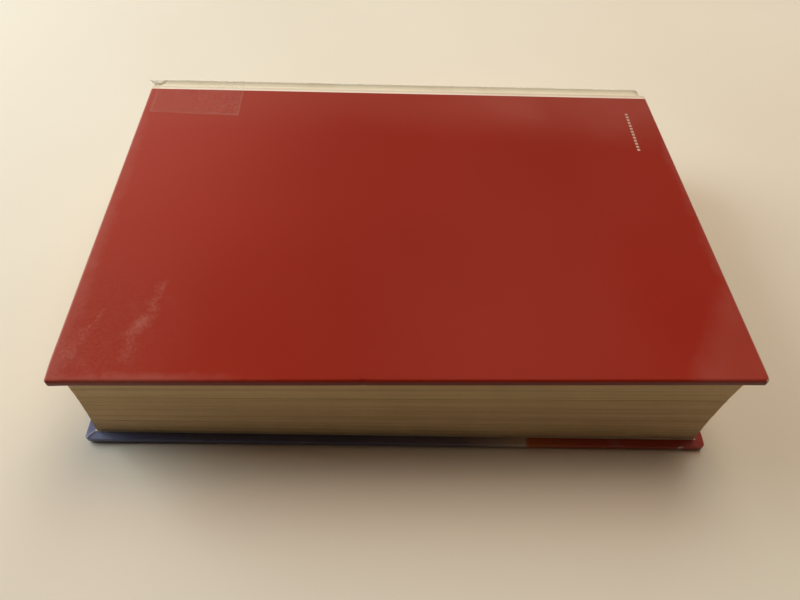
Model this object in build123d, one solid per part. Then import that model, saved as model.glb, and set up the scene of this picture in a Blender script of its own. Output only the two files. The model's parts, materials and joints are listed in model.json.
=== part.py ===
from build123d import *
import os
from math import cos, radians, sin

# A hardcover textbook lying on its front cover, back cover up.
# While it is built, X runs along the spine from head (-X) to foot, the pages' spine edge is
# at Y = 0 with the fore edge towards -Y, and Z = 0 is the middle of the pages.
# All lengths are in millimetres.

# Pages
page_height = 254.0
page_width = 178.0
page_stack = 47.2

# Case: boards, printed covering and endpapers
head_square = 4.0
fore_square = 4.0
board = 2.6
wrap = 0.25
endpaper = 0.2
turn_in = 15.0
pastedown_margin = 3.5
cover_corner_radius = 2.0
cover_edge_radius = 0.5

# Spine of the block
glue_line = 0.05
spine_cloth = 0.3
spine_lining = 0.4
band_tab = 12.0
band_bead = 1.6
band_depth = 2.0

# Spine of the case and the joints
board_setback = 3.5
joint_clearance = 0.15
hollow = 0.25
spine_inlay = 0.6
card_clearance = 0.15
ridge_drop = 0.4
ridge_radius = 0.5
hinge_setback = 3.25

# Clear tape at the head of the back joint
film = 0.15
tape_length = 49.0
tape_on_cover_at_head = 21.5
tape_on_cover_at_end = 26.5
tape_on_spine = 10.0

# The book has gone slack: its front cover is turned a little under the back cover
lean_deg = 1.16

# Places that follow from the sizes
half_stack = page_stack / 2
half_pages = page_height / 2
cover_half = half_pages + head_square
case = board + 2 * wrap
cover_inner = half_stack + endpaper
case_inner = cover_inner + endpaper
cover_outer = case_inner + case
cover_fore = -page_width - fore_square
cover_spine = -board_setback
cloth_inner = glue_line
cloth_outer = cloth_inner + spine_cloth
lining_inner = cloth_outer + glue_line
lining_outer = lining_inner + spine_lining
ridge_inner = lining_outer + hollow
pocket_inner = ridge_inner + wrap
pocket_outer = pocket_inner + spine_inlay + 2 * card_clearance
ridge_outer = pocket_outer + wrap
ridge_top = cover_outer - ridge_drop
strip_under = cover_inner + spine_cloth
strip_start = cover_spine + joint_clearance
hinge_y = cover_spine + hinge_setback
hinge_z = (cover_inner + cover_outer) / 2


def slab(x0, x1, y0, y1, z0, z1):
    """An upright box between two corners."""
    centre = ((x0 + x1) / 2, (y0 + y1) / 2, (z0 + z1) / 2)
    return Pos(*centre) * Box(x1 - x0, y1 - y0, z1 - z0)


def turned(point):
    """A plan point turned with the front cover about the middle of the spine."""
    x, y = point
    c = cos(radians(lean_deg))
    s = sin(radians(lean_deg))
    return (x * c + y * s, y * c - x * s)


def plan_face(outline, z):
    """The plan outline at one height of the leaning block, as a face."""
    share = (half_stack - z) / page_stack
    points = []
    for point in outline:
        x, y = point
        u, v = turned(point)
        points.append((x + share * (u - x), y + share * (v - y)))
    return Pos(0, 0, z) * make_face(Polyline(*points, close=True))


def standing(outline, low=-half_stack, high=half_stack):
    """A solid on a plan outline that leans with the block between two heights."""
    return loft([plan_face(outline, low), plan_face(outline, high)], ruled=True)


def rectangle(x0, x1, y0, y1):
    """The four corners of a plan rectangle."""
    return [(x0, y0), (x1, y0), (x1, y1), (x0, y1)]


def mirrored_x(outline):
    """A plan outline taken to the other end of the book."""
    return [(-x, y) for x, y in reversed(outline)]


def at_front(shape):
    """A piece of the back cover's side taken to the front cover's side."""
    return Rot(0, 0, -lean_deg) * mirror(shape, about=Plane.XY)


def along_spine(profile):
    """A profile in Y and Z drawn out over the cover's whole height."""
    return extrude(Plane.YZ * profile, amount=cover_half, both=True)


def board_solid():
    """One greyboard, with the corners of the covering less its thickness."""
    box = slab(
        -cover_half + wrap,
        cover_half - wrap,
        cover_fore + wrap,
        cover_spine - wrap,
        case_inner + wrap,
        cover_outer - wrap,
    )
    return fillet(box.edges().filter_by(Axis.Z), cover_corner_radius - wrap)


def cover_wrap():
    """The covering of one board, turned in at the head, foot and fore edge."""
    skin = slab(-cover_half, cover_half, cover_fore, cover_spine, case_inner, cover_outer)
    skin = fillet(skin.edges().filter_by(Axis.Z), cover_corner_radius)
    rims = skin.faces().sort_by(Axis.Z)
    skin = fillet(rims[0].edges() + rims[-1].edges(), cover_edge_radius)
    window = slab(
        -cover_half + turn_in,
        cover_half - turn_in,
        cover_fore + turn_in,
        cover_spine - wrap,
        case_inner,
        case_inner + wrap,
    )
    return skin - board_solid() - window


def pastedown():
    """The endpaper half that is glued inside one cover, sunk between the turn-ins."""
    sheet = slab(
        -cover_half + pastedown_margin,
        cover_half - pastedown_margin,
        cover_fore + pastedown_margin,
        cover_spine - wrap,
        cover_inner,
        case_inner,
    )
    sunk = slab(
        -cover_half + turn_in,
        cover_half - turn_in,
        cover_fore + turn_in,
        cover_spine - wrap,
        case_inner,
        case_inner + wrap,
    )
    return sheet + sunk


def flyleaf():
    """The free half of one endpaper, lying on the pages."""
    return slab(-half_pages, half_pages, -page_width, 0, half_stack, cover_inner)


def spine_cloth_side():
    """The cloth where it turns from the spine of the block into one joint."""
    wall = slab(-half_pages, half_pages, cloth_inner, cloth_outer, half_stack, strip_under)
    wing = slab(-half_pages, half_pages, strip_start, cloth_outer, cover_inner, strip_under)
    return wall + wing


def spine_cloth_solid():
    """The open cloth over the spine of the block, with a wing in each joint."""
    back = standing(rectangle(-half_pages, half_pages, cloth_inner, cloth_outer))
    return back + spine_cloth_side() + at_front(spine_cloth_side())


def spine_lining_solid():
    """The paper lining between the tabs of the two bands."""
    end = half_pages - band_tab - glue_line
    return standing(rectangle(-end, end, lining_inner, lining_outer))


def band_outline():
    """The band at the foot in plan: a tab on the spine and a bead over the pages' end."""
    seat = half_pages + glue_line
    return [
        (half_pages - band_tab, lining_inner),
        (seat, lining_inner),
        (seat, lining_outer - band_depth),
        (seat + band_bead, lining_outer - band_depth),
        (seat + band_bead, lining_outer),
        (half_pages - band_tab, lining_outer),
    ]


def inlay_side(inset):
    """The pocket for the card strip inside one ridge, or with an inset the strip itself."""
    end = cover_half - wrap - inset
    near = pocket_inner + inset
    far = pocket_outer - inset
    return slab(-end, end, near, far, half_stack, ridge_top - wrap - inset)


def spine_inlay_solid():
    """The card strip inside the case's spine."""
    end = cover_half - wrap - card_clearance
    strip = rectangle(-end, end, pocket_inner + card_clearance, pocket_outer - card_clearance)
    side = inlay_side(card_clearance)
    return standing(strip) + side + at_front(side)


def ridge_profile(grow):
    """The top of one ridge in Y and Z, grown outwards by a thickness."""
    top = ridge_top + grow
    block = Polyline(
        (ridge_inner - grow, half_stack),
        (ridge_outer + grow, half_stack),
        (ridge_outer + grow, top),
        (ridge_inner - grow, top),
        close=True,
    )
    face = make_face(block)
    return fillet(face.vertices().group_by(Axis.Y)[-1], ridge_radius + grow)


def spine_wrap_side():
    """One ridge of the covering with its joint strip and the turn-ins at its ends."""
    ridge = along_spine(ridge_profile(0))
    strip = slab(
        -cover_half, cover_half, strip_start, pocket_inner, strip_under, strip_under + wrap
    )
    flap = cover_half - turn_in
    window = slab(-flap, flap, ridge_inner, pocket_inner, half_stack, strip_under)
    return ridge + strip - inlay_side(0) - window


def spine_wrap_solid():
    """The covering of the spine: outer wall, ridges, joint strips and turned-in ends."""
    end = cover_half
    flap = cover_half - turn_in
    inside = cover_half - wrap
    foot_side = [
        (end, ridge_outer),
        (end, ridge_inner),
        (flap, ridge_inner),
        (flap, pocket_inner),
        (inside, pocket_inner),
        (inside, pocket_outer),
    ]
    wall = standing(foot_side + mirrored_x(foot_side))
    return wall + spine_wrap_side() + at_front(spine_wrap_side())


def back_cover_tape():
    """The part of the clear tape that lies on the back cover."""
    head = -cover_half + cover_edge_radius
    end = -cover_half + tape_length
    spine = cover_spine - cover_edge_radius
    outline = Polyline(
        (head, spine),
        (head, spine - tape_on_cover_at_head),
        (end, spine - tape_on_cover_at_end),
        (end, spine),
        close=True,
    )
    return Pos(0, 0, cover_outer) * extrude(make_face(outline), amount=film)


def spine_tape():
    """The part of the clear tape that goes over the ridge and down the spine."""
    end = -cover_half + tape_length
    start = ridge_inner + ridge_radius
    inner = ridge_outer + glue_line
    outer = inner + film
    over_ridge = along_spine(ridge_profile(glue_line + film)) - along_spine(ridge_profile(glue_line))
    kept = slab(-cover_half, end, start, outer, half_stack, cover_outer)
    patch = rectangle(-cover_half, end, inner, outer)
    return (over_ridge & kept) + standing(patch, low=half_stack - tape_on_spine)


pieces = {
    "text_block": standing(rectangle(-half_pages, half_pages, -page_width, 0)),
    "front_flyleaf": at_front(flyleaf()),
    "back_flyleaf": flyleaf(),
    "spine_cloth": spine_cloth_solid(),
    "spine_lining": spine_lining_solid(),
    "head_band": standing(mirrored_x(band_outline())),
    "tail_band": standing(band_outline()),
    "spine_inlay": spine_inlay_solid(),
    "spine_wrap": spine_wrap_solid(),
    "spine_tape": spine_tape(),
    "back_board": board_solid(),
    "back_cover_wrap": cover_wrap(),
    "back_pastedown": pastedown(),
    "back_cover_tape": back_cover_tape(),
    "front_board": at_front(board_solid()),
    "front_cover_wrap": at_front(cover_wrap()),
    "front_pastedown": at_front(pastedown()),
}

# The finished part stands on Z = 0 with its box centred on X = 0 and Y = 0.
box = Compound(children=[Part(piece.wrapped) for piece in pieces.values()]).bounding_box()
to_origin = Pos(-box.center().X, -box.center().Y, -box.min.Z)

os.makedirs("parts", exist_ok=True)
for name, piece in pieces.items():
    export_step(to_origin * piece, f"parts/{name}.step")

front_x, front_y = turned((0, hinge_y))
back_place = to_origin * Pos(0, hinge_y, hinge_z)
front_place = to_origin * Pos(front_x, front_y, -hinge_z)
print("box", box.size)
print("back hinge", back_place.position)
print("front hinge", front_place.position, "along", turned((1, 0)))
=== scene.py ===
"""Looks of a hardcover textbook that lies on its front cover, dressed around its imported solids.

While a piece is made it lies on the bench: X runs along the spine from the head (-X) to the foot, Y = 0
is the spine edge of the pages with the fore edge towards -Y, and Z = 0 is the table. Bench.place then
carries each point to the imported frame, where the slack block leans. All lengths are in metres.
"""

from __future__ import annotations

import json
import logging
import math
from dataclasses import dataclass, field
from enum import Enum
from functools import reduce
from typing import Callable, Sequence, Union

import bmesh
import bpy
from bpy.types import Material, Node, NodeSocket, NodeTree, Object
from mathutils import Matrix, Vector, noise


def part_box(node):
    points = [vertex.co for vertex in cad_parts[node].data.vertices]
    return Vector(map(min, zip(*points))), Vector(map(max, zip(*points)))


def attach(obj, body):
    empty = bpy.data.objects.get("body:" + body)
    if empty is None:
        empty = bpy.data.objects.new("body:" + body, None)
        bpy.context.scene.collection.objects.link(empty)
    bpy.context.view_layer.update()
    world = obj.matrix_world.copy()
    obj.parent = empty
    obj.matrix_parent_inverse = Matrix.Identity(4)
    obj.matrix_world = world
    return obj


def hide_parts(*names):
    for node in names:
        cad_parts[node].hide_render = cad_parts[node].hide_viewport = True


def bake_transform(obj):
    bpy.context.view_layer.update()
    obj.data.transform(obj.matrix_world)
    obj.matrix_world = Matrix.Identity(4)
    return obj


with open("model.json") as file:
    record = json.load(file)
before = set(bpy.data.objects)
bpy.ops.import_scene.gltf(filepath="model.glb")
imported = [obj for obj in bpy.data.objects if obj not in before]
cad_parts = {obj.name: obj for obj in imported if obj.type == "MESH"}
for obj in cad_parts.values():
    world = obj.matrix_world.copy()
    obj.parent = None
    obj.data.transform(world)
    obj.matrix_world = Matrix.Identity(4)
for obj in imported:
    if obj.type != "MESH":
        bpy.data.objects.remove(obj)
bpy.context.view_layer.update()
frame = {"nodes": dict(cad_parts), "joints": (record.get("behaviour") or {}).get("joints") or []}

LOG = logging.getLogger("textbook")
Colour = tuple[float, float, float, float]
Span = tuple[float, float]
Feed = Union[NodeSocket, float, int, tuple]
Marks = dict[str, NodeSocket]
SHARP_ANGLE = math.radians(38.0)
WEAR = "wear"
CRUMPLE_SEED = 9


class Side(Enum):
    """The two covers of the book, by the body that each one moves with."""

    BACK = "back_cover"
    FRONT = "front_cover"

    @property
    def word(self) -> str:
        """The first word of the names of this side's nodes."""
        return self.name.lower()


@dataclass(frozen=True)
class Bench:
    """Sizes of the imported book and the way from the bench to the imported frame."""

    middle: float
    spine_edge: float
    lean: float
    cover_half: float
    cover_fore: float
    cover_spine: float
    page_half: float
    page_width: float
    page_low: float
    page_high: float
    leaf_high: float
    case_inner: float
    top: float
    ridge_top: float
    ridge_outer: float

    @classmethod
    def read(cls) -> Bench:
        """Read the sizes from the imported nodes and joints.

        Returns:
            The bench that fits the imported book.
        """
        wrap_low, wrap_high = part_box("back_cover_wrap")
        leaf_low, leaf_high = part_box("back_flyleaf")
        ridge = [v.co for v in frame["nodes"]["spine_wrap"].data.vertices if v.co.z > leaf_high.z]
        hinge = next(j for j in frame["joints"] if j["name"] == "front_cover_hinge")
        return cls(
            middle=(wrap_low.x + wrap_high.x) / 2,
            spine_edge=leaf_high.y,
            lean=math.atan2(-hinge["axis"][1], hinge["axis"][0]),
            cover_half=(wrap_high.x - wrap_low.x) / 2,
            cover_fore=wrap_low.y - leaf_high.y,
            cover_spine=wrap_high.y - leaf_high.y,
            page_half=(leaf_high.x - leaf_low.x) / 2,
            page_width=leaf_high.y - leaf_low.y,
            page_low=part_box("front_flyleaf")[1].z,
            page_high=leaf_low.z,
            leaf_high=leaf_high.z,
            case_inner=wrap_low.z,
            top=wrap_high.z,
            ridge_top=max(co.z for co in ridge),
            ridge_outer=max(co.y for co in ridge) - leaf_high.y,
        )

    @property
    def page_stack(self) -> float:
        """The height of the pages."""
        return self.page_high - self.page_low

    @property
    def page_middle(self) -> float:
        """The level half way up the pages."""
        return (self.page_high + self.page_low) / 2

    def place(self, point: Vector) -> Vector:
        """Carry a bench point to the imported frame.

        Args:
            point: A point on the bench.

        Returns:
            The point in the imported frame, turned as far as its height in the block asks.
        """
        share = clamp((self.page_high - point.z) / self.page_stack)
        c, s = math.cos(self.lean), math.sin(self.lean)
        turned_x = point.x * c + point.y * s
        turned_y = point.y * c - point.x * s
        return Vector((
            self.middle + point.x + share * (turned_x - point.x),
            self.spine_edge + point.y + share * (turned_y - point.y),
            point.z,
        ))

    def on_side(self, point: Vector, side: Side) -> Vector:
        """Turn a point of the back cover's side over to the side that is asked for."""
        return point if side is Side.BACK else Vector((point.x, point.y, self.top - point.z))


def clamp(value: float) -> float:
    """Keep a value between 0 and 1."""
    return min(max(value, 0.0), 1.0)


@dataclass(frozen=True)
class Cloud:
    """A cloudy pattern: its clouds to the metre, its octaves and how rough they are."""

    scale: Feed
    detail: float = 2.0
    rough: float = 0.5


class Wires:
    """A node tree in the making, for shaders and for geometry alike."""

    def __init__(self, tree: NodeTree) -> None:
        """Keep the tree that the nodes go into."""
        self.tree = tree

    def feed(self, socket: NodeSocket, value: Feed) -> None:
        """Link a socket to another one, or set its value.

        Args:
            socket: The input.
            value: What goes into it.
        """
        if isinstance(value, NodeSocket):
            self.tree.links.new(value, socket)
        else:
            socket.default_value = value

    def node(
        self, kind: str, feeds: dict[str | int, Feed] | None = None, **settings: object
    ) -> Node:
        """Add a node.

        Args:
            kind: The node's type name.
            feeds: What goes into its inputs, by name or number.
            **settings: Properties of the node itself.

        Returns:
            The new node.
        """
        node = self.tree.nodes.new(kind)
        for name, value in settings.items():
            setattr(node, name, value)
        for key, value in (feeds or {}).items():
            self.feed(node.inputs[key], value)
        return node

    def math(self, operation: str, *values: Feed) -> NodeSocket:
        """Work out one value from up to three."""
        return self.node("ShaderNodeMath", dict(enumerate(values)), operation=operation).outputs[0]

    def times(self, *values: Feed) -> NodeSocket:
        """Multiply values."""
        return reduce(lambda first, second: self.math("MULTIPLY", first, second), values)

    def plus(self, *values: Feed) -> NodeSocket:
        """Add values."""
        return reduce(lambda first, second: self.math("ADD", first, second), values)

    def most(self, *values: Feed) -> NodeSocket:
        """Take the greatest of some values."""
        return reduce(lambda first, second: self.math("MAXIMUM", first, second), values)

    def level(self, value: Feed, gain: float, base: Feed) -> NodeSocket:
        """Multiply a value by a gain and add a base."""
        return self.math("MULTIPLY_ADD", value, gain, base)

    def less(self, first: Feed, second: Feed) -> NodeSocket:
        """Take one value from another."""
        return self.math("SUBTRACT", first, second)

    def over(self, first: Feed, second: Feed) -> NodeSocket:
        """Divide one value by another."""
        return self.math("DIVIDE", first, second)

    def ways(self, operation: str, *places: Feed) -> Node:
        """Work on places as vectors."""
        return self.node("ShaderNodeVectorMath", dict(enumerate(places)), operation=operation)

    def ease(self, value: Feed, low: float, high: float) -> NodeSocket:
        """Rise smoothly from 0 to 1 as a value goes from low to high, which may lie either way round."""
        feeds = {0: value, 1: low, 2: high}
        return self.node("ShaderNodeMapRange", feeds, interpolation_type="SMOOTHSTEP").outputs[0]

    def stretch(self, place: Feed, scale: Sequence[float], turn: float = 0.0) -> NodeSocket:
        """Scale a place along each axis, after a turn about Z."""
        turned = self.node("ShaderNodeMapping", {0: place, 2: (0.0, 0.0, turn)}).outputs[0]
        return self.node("ShaderNodeMapping", {0: turned, 3: tuple(scale)}).outputs[0]

    def clouds(self, place: Feed, cloud: Cloud) -> Node:
        """Lay a cloudy pattern, with values about one half."""
        feeds = {"Vector": place, "Scale": cloud.scale, "Detail": cloud.detail, "Roughness": cloud.rough}
        return self.node("ShaderNodeTexNoise", feeds)

    def noise(self, place: Feed, cloud: Cloud) -> NodeSocket:
        """The grey values of a cloudy pattern."""
        return self.clouds(place, cloud).outputs[0]

    def mix(self, share: Feed, first: Feed, second: Feed) -> NodeSocket:
        """Mix two colours."""
        return self.node("ShaderNodeMix", {0: share, 6: first, 7: second}, data_type="RGBA").outputs[2]

    def split(self, place: Feed) -> tuple[NodeSocket, ...]:
        """Part a place into X, Y and Z."""
        return tuple(self.node("ShaderNodeSeparateXYZ", {0: place}).outputs)

    def vector(self, *parts: Feed) -> NodeSocket:
        """Join three values to a vector."""
        return self.node("ShaderNodeCombineXYZ", dict(enumerate(parts))).outputs[0]

    def band(self, value: Feed, low: float, high: float, soft: float) -> NodeSocket:
        """Be 1 between two values and 0 outside them, with soft ends."""
        rise = self.ease(value, low - soft, low + soft)
        return self.times(rise, self.ease(value, high + soft, high - soft))


def open_group(
    name: str, kind: str, inputs: dict[str, Sequence[str]], outputs: dict[str, Sequence[str]]
) -> tuple[Wires, Marks, Marks]:
    """Start a node group.

    Args:
        name: The group's name.
        kind: Its tree type.
        inputs: Names of its inputs, by the word for their kind.
        outputs: Names of its outputs, by the word for their kind.

    Returns:
        The wires, the group's inputs by name and the sockets that its outputs are fed to.
    """
    tree = bpy.data.node_groups.new(name, kind)
    for way, sockets in (("INPUT", inputs), ("OUTPUT", outputs)):
        for socket_kind, words in sockets.items():
            for word in words:
                tree.interface.new_socket(word, in_out=way, socket_type=f"NodeSocket{socket_kind}")
    wires = Wires(tree)
    into = wires.node("NodeGroupInput").outputs
    out = wires.node("NodeGroupOutput").inputs
    return wires, {s.name: s for s in into if s.name}, {s.name: s for s in out if s.name}


@dataclass(frozen=True)
class Effects:
    """Shader node groups that several finishes share."""

    coarse_rub: Cloud = Cloud(420.0, 4.0, 0.65)
    fine_rub: Cloud = Cloud(2600.0)
    fine_level: Span = (0.35, -0.17)
    rub_span: Span = (1.02, 1.16)
    smear: Cloud = Cloud(150.0, 5.0, 0.62)
    smear_stretch: tuple[float, float, float] = (1.0, 0.28, 1.0)
    smear_turn: float = math.radians(-38.0)
    smear_span: Span = (0.5, 0.74)
    blotch: Cloud = Cloud(17.0, 4.0, 0.55)
    blotch_span: Span = (0.36, 0.66)
    ripple: Cloud = Cloud(26.0, 1.0)
    paper_cloud: Cloud = Cloud(60.0, 4.0, 0.6)
    tooth_detail: float = 3.0
    tooth_rough: float = 0.6
    cloud_share: float = 0.6

    @staticmethod
    def group(name: str, inputs: Sequence[str], outputs: Sequence[str]) -> tuple[Wires, Marks, Marks]:
        """Start a shader group with a place, further value inputs and value outputs."""
        return open_group(name, "ShaderNodeTree", {"Vector": ["Place"], "Float": inputs}, {"Float": outputs})

    def rubbed_edges(self) -> NodeTree:
        """Where rubbing has broken through a printed sheet: a ragged mask from the wear painted on a mesh.

        Returns:
            The group, with Place and Wear in and Mask out.
        """
        wires, into, out = self.group("rubbed_edges", ["Wear"], ["Mask"])
        coarse = wires.noise(into["Place"], self.coarse_rub)
        ragged = wires.level(wires.noise(into["Place"], self.fine_rub), *self.fine_level)
        worn = wires.plus(into["Wear"], wires.plus(coarse, ragged))
        wires.feed(out["Mask"], wires.ease(worn, *self.rub_span))
        return wires.tree

    def handling(self) -> NodeTree:
        """Dull smears and rubbed patches that hands and tables leave on a glossy sheet.

        Returns:
            The group, with Place in and Smear, Blotch and Ripple out.
        """
        wires, into, out = self.group("handling", [], ["Smear", "Blotch", "Ripple"])
        streaky = wires.stretch(into["Place"], self.smear_stretch, self.smear_turn)
        wires.feed(out["Smear"], wires.ease(wires.noise(streaky, self.smear), *self.smear_span))
        wires.feed(out["Blotch"], wires.ease(wires.noise(into["Place"], self.blotch), *self.blotch_span))
        wires.feed(out["Ripple"], wires.noise(into["Place"], self.ripple))
        return wires.tree

    def paper_fibre(self) -> NodeTree:
        """The cloudy tone and fine tooth of uncoated paper and board.

        Returns:
            The group, with Place and Tooth in and Tone and Height out.
        """
        wires, into, out = self.group("paper_fibre", ["Tooth"], ["Tone", "Height"])
        cloud = wires.noise(into["Place"], self.paper_cloud)
        tooth = wires.noise(into["Place"], Cloud(into["Tooth"], self.tooth_detail, self.tooth_rough))
        mixed = wires.plus(wires.times(cloud, self.cloud_share), wires.times(tooth, 1 - self.cloud_share))
        wires.feed(out["Tone"], mixed)
        wires.feed(out["Height"], tooth)
        return wires.tree

    def build(self) -> dict[str, NodeTree]:
        """Make all the groups, by name."""
        return {tree.name: tree for tree in (self.rubbed_edges(), self.handling(), self.paper_fibre())}


@dataclass(frozen=True)
class Finish:
    """A surface finish: one procedural material."""

    name: str
    effects: dict[str, NodeTree]

    def start(self) -> tuple[Material, Wires, Node, NodeSocket]:
        """Make the material.

        Returns:
            The material, its wires, its shader and the place on the object.
        """
        material = bpy.data.materials.new(self.name)
        material.use_nodes = True
        wires = Wires(material.node_tree)
        shader = material.node_tree.nodes["Principled BSDF"]
        return material, wires, shader, wires.node("ShaderNodeTexCoord").outputs["Object"]

    def effect(self, wires: Wires, name: str, place: Feed, **values: Feed) -> Marks:
        """Put a shared effect into the material, with its place and its other inputs."""
        node = wires.node("ShaderNodeGroup", {"Place": place, **values}, node_tree=self.effects[name])
        return {s.name: s for s in node.outputs}

    @staticmethod
    def wear(wires: Wires) -> NodeSocket:
        """The wear painted on the mesh."""
        return wires.node("ShaderNodeAttribute", attribute_name=WEAR).outputs["Fac"]

    @staticmethod
    def coat(wires: Wires, shader: Node, colour: Feed, roughness: Feed) -> None:
        """Give a shader its colour and its roughness."""
        wires.feed(shader.inputs["Base Color"], colour)
        wires.feed(shader.inputs["Roughness"], roughness)

    @staticmethod
    def bump(wires: Wires, shader: Node, height: Feed, depth: float, strength: float = 1.0) -> None:
        """Raise the surface by a height between 0 and 1 times a depth in metres."""
        feeds = {"Height": height, "Distance": depth, "Strength": strength}
        wires.feed(shader.inputs["Normal"], wires.node("ShaderNodeBump", feeds).outputs[0])

    def build(self) -> Material:
        """Make the material. Each finish has its own."""
        raise NotImplementedError


@dataclass(frozen=True)
class Laminate(Finish):
    """Printed paper under clear film, with rubbed edges and the marks of handling."""

    paper: Colour = (0.66, 0.58, 0.46, 1.0)
    haze: Colour = (0.42, 0.15, 0.115, 1.0)
    gloss: float = 0.3
    gloss_change: float = 0.05
    dulling: float = 0.4
    mirror: float = 0.5
    smeared: float = 0.12
    relief: Span = (0.0006, 0.2)

    def print_colour(self, wires: Wires, place: Feed) -> NodeSocket:
        """The printed colour, before any wear. Each printed sheet has its own."""
        raise NotImplementedError

    def scuffed(self, wires: Wires, place: Feed, marks: Marks) -> Feed:
        """How far the film is scuffed dull, from 0 to 1."""
        return wires.times(marks["Smear"], self.smeared)

    def build(self) -> Material:
        """Make the laminate.

        Returns:
            The material.
        """
        material, wires, shader, place = self.start()
        marks = self.effect(wires, "handling", place)
        # For the red back cover this share also holds painted reflection along the head edge and the joint.
        haze_amount = self.scuffed(wires, place, marks)
        rubbed = self.effect(wires, "rubbed_edges", place, Wear=self.wear(wires))["Mask"]
        hazed = wires.mix(haze_amount, self.print_colour(wires, place), self.haze)
        dull = wires.times(wires.most(haze_amount, rubbed), self.dulling)
        uneven = wires.level(marks["Blotch"], self.gloss_change, self.gloss)
        self.coat(wires, shader, wires.mix(rubbed, hazed, self.paper), wires.plus(dull, uneven))
        shader.inputs["Specular IOR Level"].default_value = self.mirror
        self.bump(wires, shader, marks["Ripple"], *self.relief)
        return material


@dataclass(frozen=True)
class Streak:
    """A pale streak where the film has been dragged along something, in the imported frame."""

    start: Span
    end: Span
    width: float
    strength: float

    def mask(self, wires: Wires, place: Feed) -> NodeSocket:
        """Where the streak lies.

        Args:
            wires: The material's wires.
            place: The place on the object.

        Returns:
            A soft mask times the streak's strength.
        """
        run = Vector(self.end) - Vector(self.start)
        way = run.normalized()
        off = wires.ways("SUBTRACT", place, (*self.start, 0.0)).outputs[0]
        along, across = (
            wires.ways("DOT_PRODUCT", off, line).outputs["Value"]
            for line in ((way.x, way.y, 0.0), (-way.y, way.x, 0.0))
        )
        half = self.width / 2
        length = wires.band(along, 0.0, run.length, self.width)
        return wires.times(length, wires.band(across, -half, half, half), self.strength)


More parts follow.
